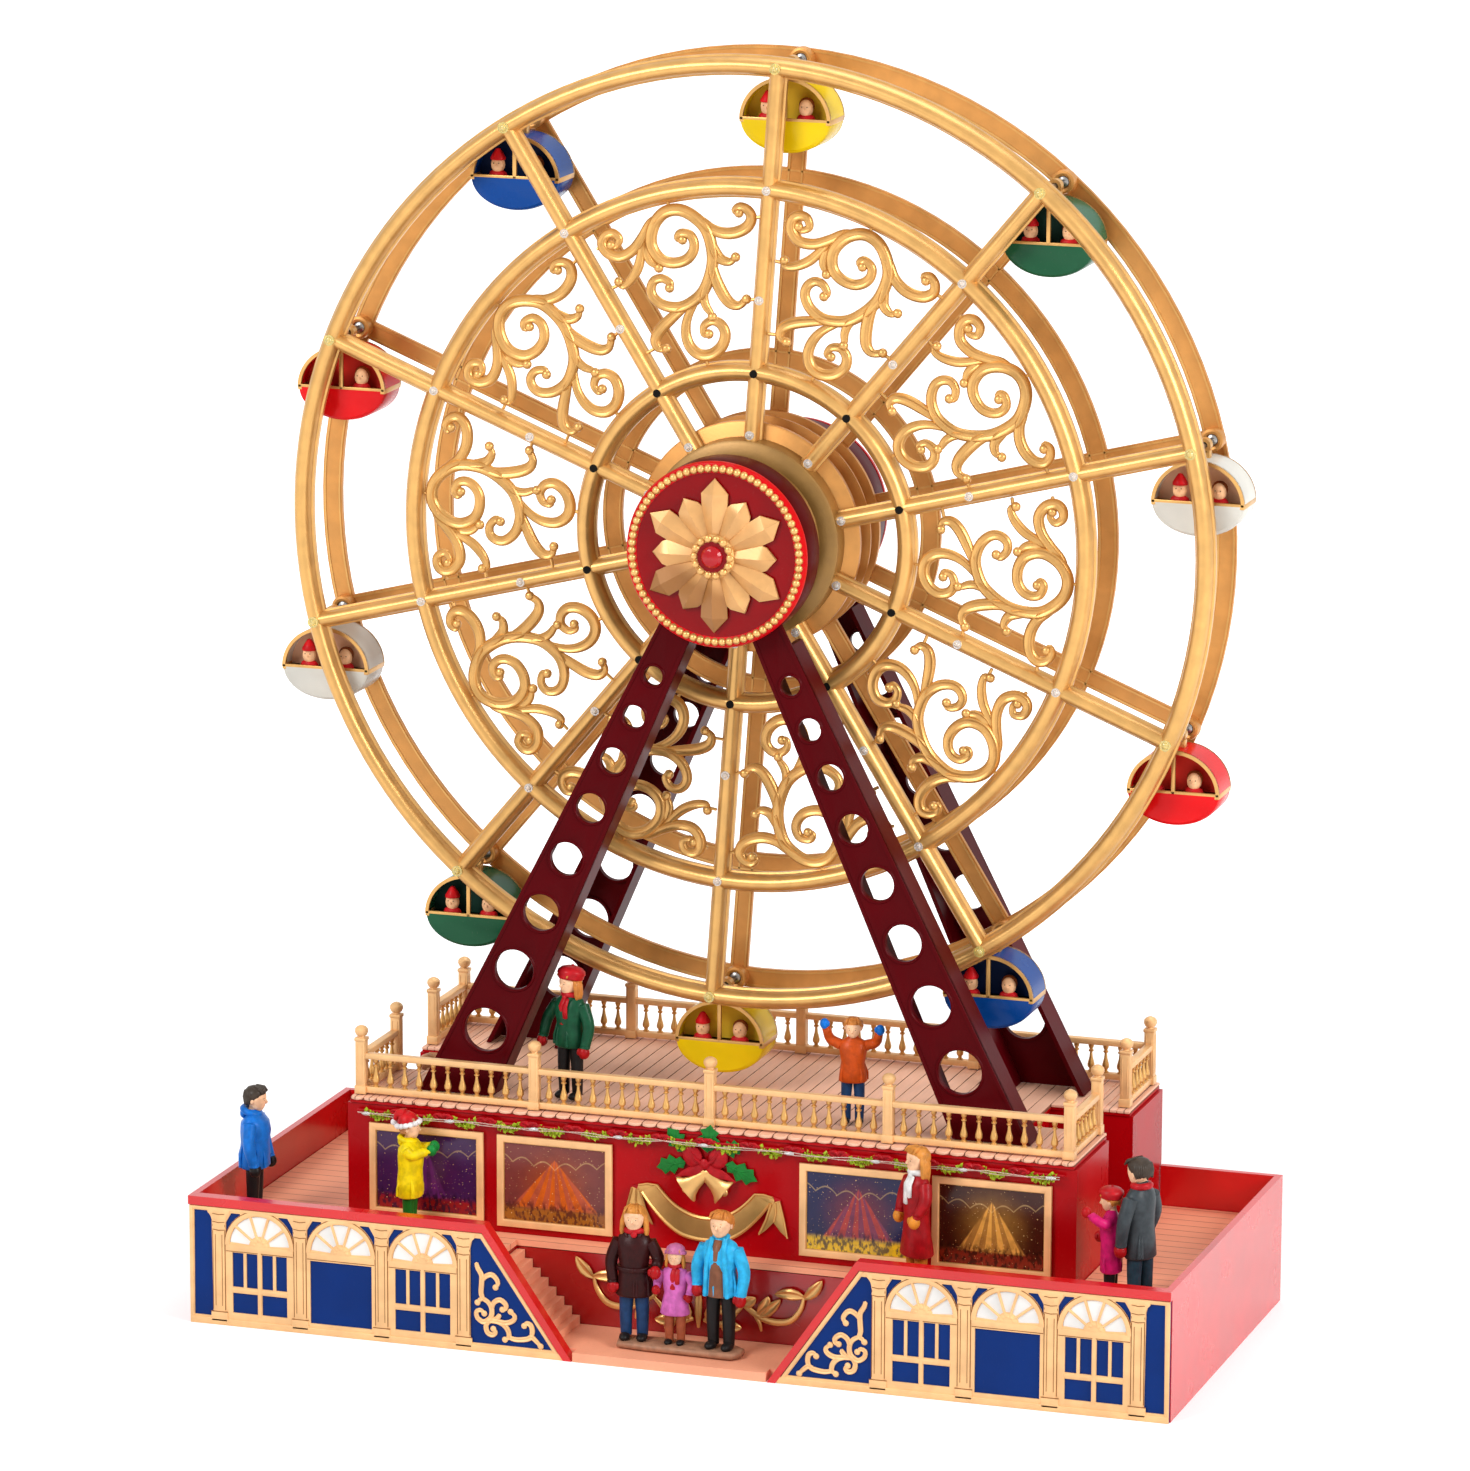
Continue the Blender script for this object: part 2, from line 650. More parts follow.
def make_facades():
    """Two moulded fronts with pilasters, arched windows, a door and a scroll triangle."""
    top = TRAY_HEIGHT - TRIM_HEIGHT - GAP
    outer = HALF_W - GAP
    back = -HALF_D + POCKET_DEPTH - GAP
    middle = back - FACADE_BACK
    slope = SLOPE_TRIM + GAP
    outline = wing_outline(slope, 0.0, top, outer)
    plate = flat([outline], middle - FACADE_RELIEF, back)
    edge = PILASTER_WIDTH / 2
    first = outer - END_STRIP - edge
    holes = [rectangle(first + edge, outer - FACADE_RIM, FACADE_SILL, top - FACADE_RIM)]
    for bay in range(3):
        middle_x = first - BAY_WIDTH * (bay + 0.5)
        holes.append(arc((middle_x, SPRING_HEIGHT + FACADE_RIM), ARCH_RADIUS, 0, 180, 4))
        holes.append(rectangle(middle_x - ARCH_RADIUS, middle_x + ARCH_RADIUS, DOOR_SILL,
                               SPRING_HEIGHT))
    last = first - 3 * BAY_WIDTH - edge
    low_x = opening_edge(FACADE_SILL) + slope + 3 * FACADE_RIM
    high_z = FACADE_SILL + (last - low_x) / (OPENING_HALF_HIGH - OPENING_HALF_LOW) * TRAY_HEIGHT
    if high_z > top - FACADE_RIM:
        cap_x = low_x + (last - low_x) * (top - FACADE_RIM - FACADE_SILL) / (high_z - FACADE_SILL)
        holes.append([(low_x, FACADE_SILL), (last, FACADE_SILL), (last, top - FACADE_RIM),
                      (cap_x, top - FACADE_RIM)])
    else:
        holes.append([(low_x, FACADE_SILL), (last, FACADE_SILL), (last, high_z)])
    panels = [flat([hole], middle - 2 * FACADE_RELIEF, middle) for hole in holes]
    right = cut(plate, panels)
    left = moved(new_object("copy", right.data.copy()), mirror_x())
    finish(right, "facade_right", CREAM_GOLD, smooth=False)
    finish(left, "facade_left", CREAM_GOLD, smooth=False)


def make_house():
    """The walls under the deck, on an H shaped plan, and the planked deck over them."""
    house = flat([HOUSE_OUTLINE, inset_house(HOUSE_WALL)], HOUSE_BASE, HOUSE_TOP, "Z")
    finish(house, "house_walls", HOUSE_RED, smooth=False)
    deck_plan = []
    for x, y in inset_house(-DECK_OVERHANG):
        deck_plan.append((x, min(y, HALF_D)))
    deck = flat([deck_plan], DECK_TOP - DECK_THICKNESS, DECK_TOP, "Z")
    finish(deck, "deck", TAN, smooth=False)


def baluster(x, y, low, high):
    """A three sided baluster, thick at the foot and thin at the head, with an edge in front."""
    return cone((x, y, low), (x, y, high), BALUSTER_FOOT / math.sqrt(3),
                BALUSTER_HEAD / math.sqrt(3), 3)


def make_balustrade(name, y_long, y_end):
    """A long rail with a return at each end, its posts, ball tops and balusters."""
    x_end = HOUSE_HALF_WIDTH - RAIL_INSET - RAIL_POST / 2
    low = DECK_TOP + GAP
    rail_half = RAIL_WIDTH / 2
    top_low = low + TOP_RAIL_HEIGHT - TOP_RAIL_THICKNESS
    top_high = low + TOP_RAIL_HEIGHT
    pieces = []
    for z_low, z_high in ((low, low + BOTTOM_RAIL), (top_low, top_high)):
        pieces.append(box((-x_end, x_end), (y_long - rail_half, y_long + rail_half),
                          (z_low, z_high)))
        for side in (-1, 1):
            pieces.append(box((side * x_end - rail_half, side * x_end + rail_half),
                              (min(y_long, y_end), max(y_long, y_end)), (z_low, z_high)))
    posts = [(-x_end + 2 * x_end * bay / FRONT_BAYS, y_long) for bay in range(FRONT_BAYS + 1)]
    posts += [(-x_end, y_end), (x_end, y_end)]
    half = RAIL_POST / 2
    for x, y in posts:
        pieces.append(box((x - half, x + half), (y - half, y + half), (low, low + POST_HEIGHT)))
        centre = (x, y, low + POST_HEIGHT + BALL_RADIUS * 0.8)
        pieces.append(ball(centre, BALL_RADIUS, 6, 3))
    bay_width = 2 * x_end / FRONT_BAYS
    foot = low + BOTTOM_RAIL * 0.5
    head = top_low + TOP_RAIL_THICKNESS * 0.5
    for bay in range(FRONT_BAYS):
        for count in range(BALUSTERS_PER_BAY):
            x = -x_end + bay_width * (bay + (count + 1) / (BALUSTERS_PER_BAY + 1))
            pieces.append(baluster(x, y_long, foot, head))
    for side in (-1, 1):
        for count in range(BALUSTERS_PER_RETURN):
            y = y_long + (y_end - y_long) * (count + 1) / (BALUSTERS_PER_RETURN + 1)
            pieces.append(baluster(side * x_end, y, foot, head))
    finish(joined(pieces), name, GOLD)


def make_balustrades():
    """The front and the rear balustrade, each round three sides of its block."""
    inset = RAIL_INSET + RAIL_POST / 2
    make_balustrade("balustrade_front", HOUSE_FRONT + inset, NOTCH_FRONT - inset + RAIL_INSET)
    make_balustrade("balustrade_rear", HALF_D - inset, NOTCH_REAR + inset)


def moulding(half, depth):
    """A section as (sideways, depth) pairs: flat at the back, narrower at the front."""
    return [(half, 0.0), (0.62 * half, -depth), (-0.62 * half, -depth), (-half, 0.0)]


def turns_of(first):
    """One turn about the axle for each spoke, from a first angle."""
    return [Matrix.Rotation(first + math.tau * index / SPOKES, 4, "Y")
            for index in range(SPOKES)]


def front_frame():
    """Three tapered rings, the spokes and the hub plate, with the flat side at y = 0."""
    pieces = []
    for radius, steps in ((PIN_CIRCLE, OUTER_STEPS), (MID_RING, MID_STEPS),
                          (INNER_RING, INNER_STEPS)):
        section = [(radius + across, y) for across, y in moulding(RING_WIDTH / 2, RING_DEPTH)]
        pieces.append(turned(section, steps, True))
    pieces.append(rod((0.0, -HUB_PLATE_DEPTH, 0.0), (0.0, 0.0, 0.0), HUB_PLATE_RADIUS, 30))
    section = [(across, y - SPOKE_RECESS) for across, y in
               moulding(SPOKE_WIDTH / 2, SPOKE_DEPTH)]
    bar = flat([section], HUB_PLATE_RADIUS * 0.8, PIN_CIRCLE, "Z")
    pieces += copies(bar, turns_of(0.0))
    return pieces


def sector(inner, outer, inner_steps, outer_steps, turn):
    """The outline of the gap between two spokes and two rings."""
    half = math.pi / SPOKES
    outline = []
    for radius, steps, direction in ((outer, outer_steps, 1), (inner, inner_steps, -1)):
        reach = half - math.asin(SPOKE_WIDTH / 2 / radius)
        for step in range(steps + 1):
            angle = turn + direction * reach * (2 * step / steps - 1)
            outline.append((radius * math.sin(angle), radius * math.cos(angle)))
    return outline


def rear_frame():
    """The plainer rear moulding: one plate with three rows of gaps and a thick hub."""
    half = RING_WIDTH / 2
    outlines = [circle(PIN_CIRCLE + half, OUTER_STEPS)]
    rows = ((MID_RING + half, PIN_CIRCLE - half, 3, 4), (INNER_RING + half, MID_RING - half, 2, 3),
            (HUB_PLATE_RADIUS, INNER_RING - half, 2, 2))
    for index in range(SPOKES):
        turn = math.tau * (index + 0.5) / SPOKES
        for inner, outer, inner_steps, outer_steps in rows:
            outlines.append(sector(inner, outer, inner_steps, outer_steps, turn))
    plate = flat(outlines, -RING_DEPTH, 0.0)
    hub = rod((0.0, -HUB_PLATE_DEPTH, 0.0), (0.0, -SPOKE_RECESS, 0.0),
              HUB_PLATE_RADIUS - SPOKE_RECESS, 20)
    return [plate, hub]


# Scroll strokes of one panel in millimetres: (sideways, outwards from the axle)
SCROLL_STROKES = (
    ((3.4, 99.2), (-0.6, 95.0), (-6.2, 97.6), (-7.4, 104.8), (-1.6, 111.8), (6.4, 110.6),
     (11.2, 103.4), (10.4, 93.2), (4.4, 84.4), (-5.0, 80.0), (-12.4, 83.4), (-11.0, 90.0)),
    ((-4.6, 109.4), (-11.6, 103.2), (-19.4, 99.6), (-26.6, 101.4), (-28.6, 106.6),
     (-24.4, 109.8), (-21.2, 106.4)),
    ((9.4, 107.2), (15.0, 102.4), (22.2, 99.8), (28.4, 102.6), (28.2, 108.0),
     (23.6, 109.0), (22.0, 105.4)),
    ((10.4, 94.4), (11.8, 86.0), (16.4, 79.4), (21.4, 80.0), (20.2, 84.8)),
    ((3.6, 84.2), (-2.8, 77.6), (-5.4, 69.6), (-2.8, 62.6), (3.6, 60.4), (8.8, 64.8),
     (6.8, 70.4), (2.4, 68.6)),
    ((-10.8, 103.0), (-15.6, 94.8), (-22.8, 91.4)),
    ((-6.4, 80.2), (-13.2, 76.8), (-17.8, 68.4)))


def stroke_outline(points, half, tip):
    """A flat band of even width along a line of points, narrower at its two ends."""
    left = []
    right = []
    last = len(points) - 1
    for index in range(last + 1):
        here = Vector(points[index])
        ahead = (Vector(points[min(index + 1, last)]) - Vector(points[min(index, last - 1)]))
        behind = (Vector(points[max(index, 1)]) - Vector(points[max(index - 1, 0)]))
        along = (ahead.normalized() + behind.normalized()).normalized()
        width = (half if 0 < index < last else tip) / along.dot(ahead.normalized())
        side = Vector((-along.y, along.x)) * width
        left.append(tuple(here + side))
        right.append(tuple(here - side))
    return left + right[::-1]


def scroll_panel():
    """One open scroll panel, standing up over the axle, that meets both rings and spokes."""
    pieces = []
    for index, stroke in enumerate(SCROLL_STROKES):
        points = [(x * 0.001, z * 0.001) for x, z in stroke]
        outline = stroke_outline(points, STROKE_HALF, STROKE_TIP)
        step = index * 0.00004
        pieces.append(flat([outline], -SCROLL_BACK - SCROLL_DEPTH + step, -SCROLL_BACK - step))
    return joined(pieces)


def bored(obj):
    """The wheel half with its bore for the axle."""
    return cut(obj, [rod((0.0, -WHEEL_SPREAD, 0.0), (0.0, WHEEL_SPREAD, 0.0),
                         AXLE_RADIUS + BORE_CLEARANCE, 12)])


def make_wheel():
    """Front and rear mouldings, the drum between them and the axle."""
    hub = axis_empty("wheel_axis", (0.0, WHEEL_MID_Y, AXLE_HEIGHT))
    turn = Matrix.Rotation(REST_TURN, 4, "Y")
    origin = (0.0, WHEEL_MID_Y, AXLE_HEIGHT)
    front = bored(joined(front_frame() + copies(scroll_panel(), turns_of(math.pi / SPOKES))))
    place = Matrix.Translation((0.0, FRONT_FLAT_Y, AXLE_HEIGHT)) @ turn
    finish(moved(front, place), "wheel_front", GOLD, origin, hub)

    bosses = []
    boss_end = (WHEEL_SPREAD - CABIN_DEPTH) / 2 - BOSS_END_GAP
    for index in range(SPOKES):
        angle = math.tau * index / SPOKES
        x = PIN_CIRCLE * math.sin(angle)
        z = PIN_CIRCLE * math.cos(angle)
        bosses.append(rod((x, -OVERLAP, z), (x, boss_end, z), BOSS_RADIUS, 6))
        bosses.append(rod((x, SPOKE_RECESS, z), (x, WHEEL_SPREAD - GAP, z), PIN_RADIUS, 4))
    rear = bored(joined(rear_frame() + bosses))
    flip = Matrix.Translation((0.0, REAR_FLAT_Y, AXLE_HEIGHT)) @ turn
    flip = flip @ Matrix.Diagonal((1.0, -1.0, 1.0, 1.0))
    finish(moved(rear, flip), "wheel_rear", GOLD, origin, hub)

    bore = AXLE_RADIUS + BORE_CLEARANCE
    low = FRONT_FLAT_Y + GAP
    high = REAR_FLAT_Y - GAP
    drum = rod((0.0, low, 0.0), (0.0, high, 0.0), HUB_DRUM_RADIUS, 30)
    drum = cut(drum, [rod((0.0, low - OVERRUN, 0.0), (0.0, high + OVERRUN, 0.0), bore, 12)])
    place = Matrix.Translation((0.0, 0.0, AXLE_HEIGHT))
    finish(moved(drum, place), "hub_drum", GOLD, origin, hub)
    front_end = DRUM_FRONT + GAP
    rear_end = 2 * WHEEL_MID_Y - DRUM_FRONT - GAP - MOTOR_LENGTH
    axle = rod((0.0, front_end, AXLE_HEIGHT), (0.0, rear_end, AXLE_HEIGHT), AXLE_RADIUS, 12)
    finish(axle, "axle", STEEL, origin, hub)


def gear_outline(teeth, turn=0.0):
    """The outline of a spur gear, four points to a tooth."""
    pitch = GEAR_MODULE * teeth / 2
    tip = pitch + 0.85 * GEAR_MODULE
    root = pitch - 1.15 * GEAR_MODULE
    outline = []
    for tooth in range(teeth):
        centre = turn + math.tau * tooth / teeth
        for share, radius in ((-0.26, root), (-0.10, tip), (0.10, tip), (0.26, root)):
            angle = centre + share * math.tau / teeth
            outline.append((radius * math.sin(angle), radius * math.cos(angle)))
    return outline


def circle(radius, sides, centre=(0.0, 0.0)):
    """The points of a circle."""
    return arc(centre, radius, 0, 360 - 360 / sides, sides - 1)


def leg_x(height, side):
    """The x of an edge of the right leg at a height: side -1 is the inner edge."""
    share = (LEG_TOP_Z - height) / (LEG_TOP_Z - DECK_TOP)
    centre = LEG_TOP_X + (LEG_FOOT_X - LEG_TOP_X) * share
    width = LEG_TOP_WIDTH + (LEG_FOOT_WIDTH - LEG_TOP_WIDTH) * share
    return centre + side * width / 2


def leg_holes():
    """Centres and radii of the round holes, which grow toward the foot."""
    holes = []
    height = HOLE_FIRST_Z
    for index in range(HOLE_COUNT):
        centre = (leg_x(height, 1) + leg_x(height, -1)) / 2
        holes.append((centre, height, HOLE_FIRST_RADIUS + HOLE_GROWTH * index))
        height -= HOLE_STEP + HOLE_STEP_GROWTH * index
    return holes


def front_support():
    """Two channel legs with round holes and the drum that they carry, in one moulding."""
    rear = LEG_FACE_Y + LEG_DEPTH
    foot = DECK_TOP + GAP
    head = AXLE_HEIGHT - DRUM_RADIUS * 0.6
    stop = AXLE_HEIGHT - DRUM_RADIUS - LEG_SKIN
    leg = flat([[(leg_x(foot, -1), foot), (leg_x(foot, 1), foot),
                 (leg_x(head, 1), head), (leg_x(head, -1), head)]], LEG_FACE_Y, rear)
    below = foot - LEG_SKIN
    inner = [(leg_x(below, -1) + LEG_SKIN, below), (leg_x(below, 1) - LEG_SKIN, below),
             (leg_x(stop, 1) - LEG_SKIN, stop), (leg_x(stop, -1) + LEG_SKIN, stop)]
    hollow = flat([inner], LEG_FACE_Y + LEG_SKIN, rear + LEG_SKIN)
    bores = [rod((x, LEG_FACE_Y - LEG_SKIN, z), (x, rear, z), radius, HOLE_SIDES)
             for x, z, radius in leg_holes()]
    leg = cut(leg, [hollow])
    leg = cut(leg, bores)
    other = moved(new_object("copy", leg.data.copy()), mirror_x())
    back = DRUM_FRONT + DRUM_DEPTH
    drum = rod((0.0, DRUM_FRONT, AXLE_HEIGHT), (0.0, back, AXLE_HEIGHT), DRUM_RADIUS, DRUM_SIDES)
    body = joined([drum, leg, other])
    hollow = rod((0.0, DRUM_FRONT - DRUM_WALL, AXLE_HEIGHT), (0.0, back - DRUM_WALL, AXLE_HEIGHT),
                 DRUM_RADIUS - DRUM_WALL, DRUM_SIDES)
    bore = rod((0.0, DRUM_FRONT, AXLE_HEIGHT), (0.0, back + DRUM_WALL, AXLE_HEIGHT),
               AXLE_RADIUS + BORE_CLEARANCE, 12)
    return cut(cut(body, [hollow]), [bore])


def make_supports():
    """The front support, its mirror image at the rear, and a cover on each drum."""
    front = front_support()
    flip = mirror_y(WHEEL_MID_Y)
    rear = moved(new_object("copy", front.data.copy()), flip)
    finish(front, "support_front", MAROON)
    finish(rear, "support_rear", MAROON)
    lift = Matrix.Translation((0.0, 0.0, AXLE_HEIGHT))
    back = DRUM_FRONT - GAP
    face = back - COVER_DEPTH
    profile = [(0.0, face), (DRUM_RADIUS - COVER_BEVEL, face), (DRUM_RADIUS, face + COVER_BEVEL),
               (DRUM_RADIUS, back), (0.0, back)]
    front_cover = turned(profile, DRUM_SIDES)
    rear_cover = moved(new_object("copy", front_cover.data.copy()), flip)
    finish(moved(front_cover, lift), "hub_cover_front", RED)
    finish(moved(rear_cover, lift), "hub_cover_rear", RED)
    finish(moved(star(face - GAP), lift), "star_ornament", GOLD)


def star(back):
    """A folded star of six long and six short points, with a gem in a round seat."""
    work = bmesh.new()
    top = work.verts.new((0.0, back - STAR_DEPTH, 0.0))
    bottom = work.verts.new((0.0, back, 0.0))
    front = []
    rear = []
    corners = 2 * STAR_POINTS
    for index in range(corners):
        angle = math.tau * index / corners
        if index % 2:
            reach = STAR_VALLEY
        else:
            reach = STAR_SHORT if index % 4 else STAR_LONG
        x = reach * math.sin(angle)
        z = reach * math.cos(angle)
        lift = STAR_EDGE if index % 2 else 2 * STAR_EDGE
        front.append(work.verts.new((x, back - lift, z)))
        rear.append(work.verts.new((x, back, z)))
    for index in range(corners):
        after = (index + 1) % corners
        work.faces.new((top, front[index], front[after]))
        work.faces.new((front[index], rear[index], rear[after], front[after]))
        work.faces.new((rear[index], bottom, rear[after]))
    blades = from_bmesh(work)
    seat = rod((0.0, back - STAR_DEPTH - STAR_EDGE, 0.0), (0.0, back - STAR_EDGE, 0.0),
               GEM_SEAT, 12)
    gem = cone((0.0, back - STAR_DEPTH, 0.0), (0.0, back - STAR_DEPTH - 3 * STAR_EDGE, 0.0),
               GEM_RADIUS, GEM_RADIUS * 0.5, 8)
    return joined([blades, seat, gem])


def make_drive():
    """The gear on the axle, the motor in the rear drum and its pinion."""
    rear_wall = 2 * WHEEL_MID_Y - (DRUM_FRONT + DRUM_DEPTH - DRUM_WALL)
    start = rear_wall + GEAR_SIDE_GAP
    bore = AXLE_RADIUS + BORE_CLEARANCE
    gear = flat([gear_outline(GEAR_TEETH), circle(bore, 10)], start, start + GEAR_THICKNESS)
    lift = Matrix.Translation((0.0, 0.0, AXLE_HEIGHT))
    hub = bpy.data.objects["wheel_axis"]
    finish(moved(gear, lift), "drive_gear", NYLON, (0.0, WHEEL_MID_Y, AXLE_HEIGHT), hub, False)

    centre_z = AXLE_HEIGHT + MOTOR_OFFSET
    below = math.pi + math.pi / PINION_TEETH
    pinion = flat([gear_outline(PINION_TEETH, below), circle(SHAFT_RADIUS + GAP, 6)],
                  start, start + GEAR_THICKNESS)
    axis = axis_empty("motor_axis", (0.0, start, centre_z))
    lift = Matrix.Translation((0.0, 0.0, centre_z))
    finish(moved(pinion, lift), "motor_pinion", NYLON, (0.0, start, centre_z), axis, False)
    can_start = start + GEAR_THICKNESS + MOTOR_SIDE_GAP
    can = rod((0.0, can_start, centre_z), (0.0, can_start + MOTOR_LENGTH, centre_z),
              MOTOR_RADIUS, 16)
    shaft = rod((0.0, start, centre_z), (0.0, can_start + OVERLAP, centre_z), SHAFT_RADIUS,
                6)
    finish(joined([can, shaft]), "motor", STEEL)


def cabin_window(side):
    """A quarter round window between the arch rim, the centre post and the waist rail."""
    half = CABIN_WIDTH / 2 - 1.5 * CABIN_RIM
    height = CABIN_ARCH - CABIN_RIM
    low = CABIN_RAIL / 2
    post = CABIN_RIM / 2
    points = [(post, low), (half * 0.985, low),
              (half * math.cos(math.radians(44)), height * math.sin(math.radians(44))),
              (post, height * 0.99)]
    return [(side * x, z - CABIN_DROP) for x, z in points]


def cabin():
    """A cabin hung from the Y axis by its eye."""
    centre = (0.0, -CABIN_DROP)
    half = CABIN_DEPTH / 2
    half_width = CABIN_WIDTH / 2
    upper = arc(centre, half_width, 0, 180, 8, CABIN_ARCH / half_width)
    lower = arc(centre, half_width, 180, 360, 5, CABIN_BELLY / half_width)
    shell = flat([upper + lower[1:-1]], -half, half)
    wall = CABIN_MIDWALL / 2
    eye_half = EYE_DEPTH / 2
    foot = CABIN_ARCH - CABIN_DROP - CABIN_RIM
    outline = arc((0.0, 0.0), EYE_RADIUS, -30, 210, 4) + [(-EYE_RADIUS, foot), (EYE_RADIUS, foot)]
    bore = circle(PIN_RADIUS + BORE_CLEARANCE, 5)
    eye = flat([outline, bore], -eye_half, eye_half)
    cutters = []
    for side in (-1, 1):
        cutters.append(flat([cabin_window(side)], -2 * half, -wall))
    return cut(joined([shell, eye]), cutters)


def make_cabins():
    """Ten cabins, each hanging from its own pin, in five colours that repeat."""
    model = cabin()
    for index in range(SPOKES):
        angle = REST_TURN + math.tau * index / SPOKES
        origin = (PIN_CIRCLE * math.sin(angle), WHEEL_MID_Y,
                  AXLE_HEIGHT + PIN_CIRCLE * math.cos(angle))
        hung = new_object("copy", model.data.copy())
        moved(hung, Matrix.Translation(origin))
        finish(hung, f"cabin_{index + 1:02d}", CABIN_PAINTS[index % len(CABIN_PAINTS)], origin)
    bpy.data.objects.remove(model, do_unlink=True)


def make_picture_frames():
    """Four frames on the front of the house, each a tray for a printed card."""
    back = HOUSE_FRONT - GAP
    front = back - FRAME_DEPTH
    half_w = FRAME_WIDTH / 2
    half_h = FRAME_HEIGHT / 2
    for index, x in enumerate(FRAME_CENTRES_X):
        outer = rectangle(x - half_w, x + half_w, FRAME_CENTRE_Z - half_h, FRAME_CENTRE_Z + half_h)
        inner = rectangle(x - half_w + FRAME_BORDER, x + half_w - FRAME_BORDER,
                          FRAME_CENTRE_Z - half_h + FRAME_BORDER,
                          FRAME_CENTRE_Z + half_h - FRAME_BORDER)
        backing = flat([outer], back - FRAME_BACKING, back)
        border = flat([outer, inner], front, back - FRAME_BACKING * 0.8)
        finish(joined([backing, border]), f"picture_frame_{index + 1}", GOLD, smooth=False)


# The banner's right tail in millimetres, from the low corner of the ribbon's end: (out, up)
BANNER_TAIL = ((-3.0, -4.0), (3.0, -13.0), (4.2, -9.5), (7.2, -12.0), (3.0, 6.0), (-4.0, 5.5))


def make_banner():
    """A blank ribbon that sags between two folded ends."""
    back = HOUSE_FRONT - GAP
    lower = []
    upper = []
    for step in range(9):
        share = -1 + step / 4
        sag = BANNER_SAG * share * share
        lower.append((BANNER_HALF_SPAN * share, BANNER_LOW + sag))
        upper.append((BANNER_HALF_SPAN * share, BANNER_LOW + BANNER_WIDTH + sag))
    ribbon = flat([lower + upper[::-1]], back - RELIEF_DEPTH, back)
    tail = [(BANNER_HALF_SPAN + out * 0.001, BANNER_LOW + BANNER_SAG + up * 0.001)
            for out, up in BANNER_TAIL]
    right = flat([tail], back - RELIEF_DEPTH + 0.0002, back - 0.0001)
    left = moved(new_object("copy", right.data.copy()), mirror_x())
    finish(joined([ribbon, right, left]), "banner_ribbon", GOLD, smooth=False)


def make_bells():
    """Holly leaves, a bow and two bells under the middle of the garland."""
    back = HOUSE_FRONT - GAP
    high = HOLLY_HEIGHT
    pieces = [box((-BOW_HALF, BOW_HALF), (back - RELIEF_DEPTH, back),
                  (high - BOW_HALF * 0.6, high + BOW_HALF * 0.9))]
    for side in (-1, 1):
        for order, angle in enumerate(HOLLY_ANGLES):
            reach = Vector((side * math.cos(math.radians(angle)), math.sin(math.radians(angle))))
            across = Vector((-reach.y, reach.x)) * LEAF_HALF
            root = Vector((0.0, high))
            middle = root + reach * LEAF_LENGTH * 0.55
            tip = root + reach * LEAF_LENGTH
            leaf = [tuple(root), tuple(middle + across), tuple(tip), tuple(middle - across)]
            step = 0.0001 * order
            pieces.append(flat([leaf], back - RELIEF_DEPTH * 0.75 - 2 * step, back - step))
        axis_y = back - RELIEF_DEPTH * 0.9
        pieces.append(cone((side * BOW_HALF * 0.5, axis_y, high),
                           (side * BOW_HALF * 1.3, axis_y, high - BELL_LENGTH),
                           BELL_CROWN, BELL_MOUTH, 6))
    body = joined(pieces)
    reach = 3 * LEAF_LENGTH
    wall = box((-reach, reach), (back - 0.00005, back + OVERRUN), (high - reach, high + reach))
    finish(cut(body, [wall]), "bells_and_holly", LEAF, smooth=False)


# Strokes of the vine's right half in millimetres: (out from the middle, up)
VINE_STROKES = (
    ((0.0, 10.4), (10.0, 7.8), (20.0, 12.6), (27.0, 13.0), (34.0, 9.4), (41.0, 15.4)),
    ((24.0, 13.2), (27.0, 18.0), (32.0, 18.4)),
    ((38.4, 12.8), (47.0, 20.6)))
VINE_DROP = ((-1.2, 18.5), (0.0, 6.0), (1.2, 18.5))


def make_vine():
    """A gold vine on the wall behind the landing, mirrored about a centre drop."""
    back = LANDING_BACK - GAP
    pieces = []
    for index, stroke in enumerate(VINE_STROKES):
        for side in (1, -1):
            points = [(side * x * 0.001, z * 0.001) for x, z in stroke]
            outline = stroke_outline(points, VINE_HALF, VINE_TIP)
            step = 0.00005 * (2 * index + (side + 1) / 2)
            pieces.append(flat([outline], back - RELIEF_DEPTH - step, back - step))
    drop = [(x * 0.001, z * 0.001) for x, z in VINE_DROP]
    pieces.append(flat([drop], back - RELIEF_DEPTH - 0.0004, back - 0.0004))
    finish(joined(pieces), "vine_ornament", GOLD, smooth=False)


def make_garland():
    """The garland under the deck's front edge and the light string held along it."""
    reach = HOUSE_HALF_WIDTH - RAIL_INSET * 2
    y = HOUSE_FRONT - GAP - GARLAND_RADIUS * 1.2
    garland = []
    radii = []
    for step in range(GARLAND_STEPS + 1):
        garland.append((-reach + 2 * reach * step / GARLAND_STEPS, y, GARLAND_HEIGHT))
        radii.append(1.15 if step % 2 else 0.85)
    finish(tube(garland, GARLAND_RADIUS, 0, radii), "garland", LEAF)
    string = []
    y = y - GARLAND_RADIUS * 1.2 - STRING_RADIUS - GAP
    for step in range(STRING_STEPS + 1):
        lift = STRING_RADIUS * math.sin(step * 1.9)
        string.append((-reach + 2 * reach * step / STRING_STEPS, y, GARLAND_HEIGHT + lift))
    finish(tube(string, STRING_RADIUS), "light_string", WIRE)


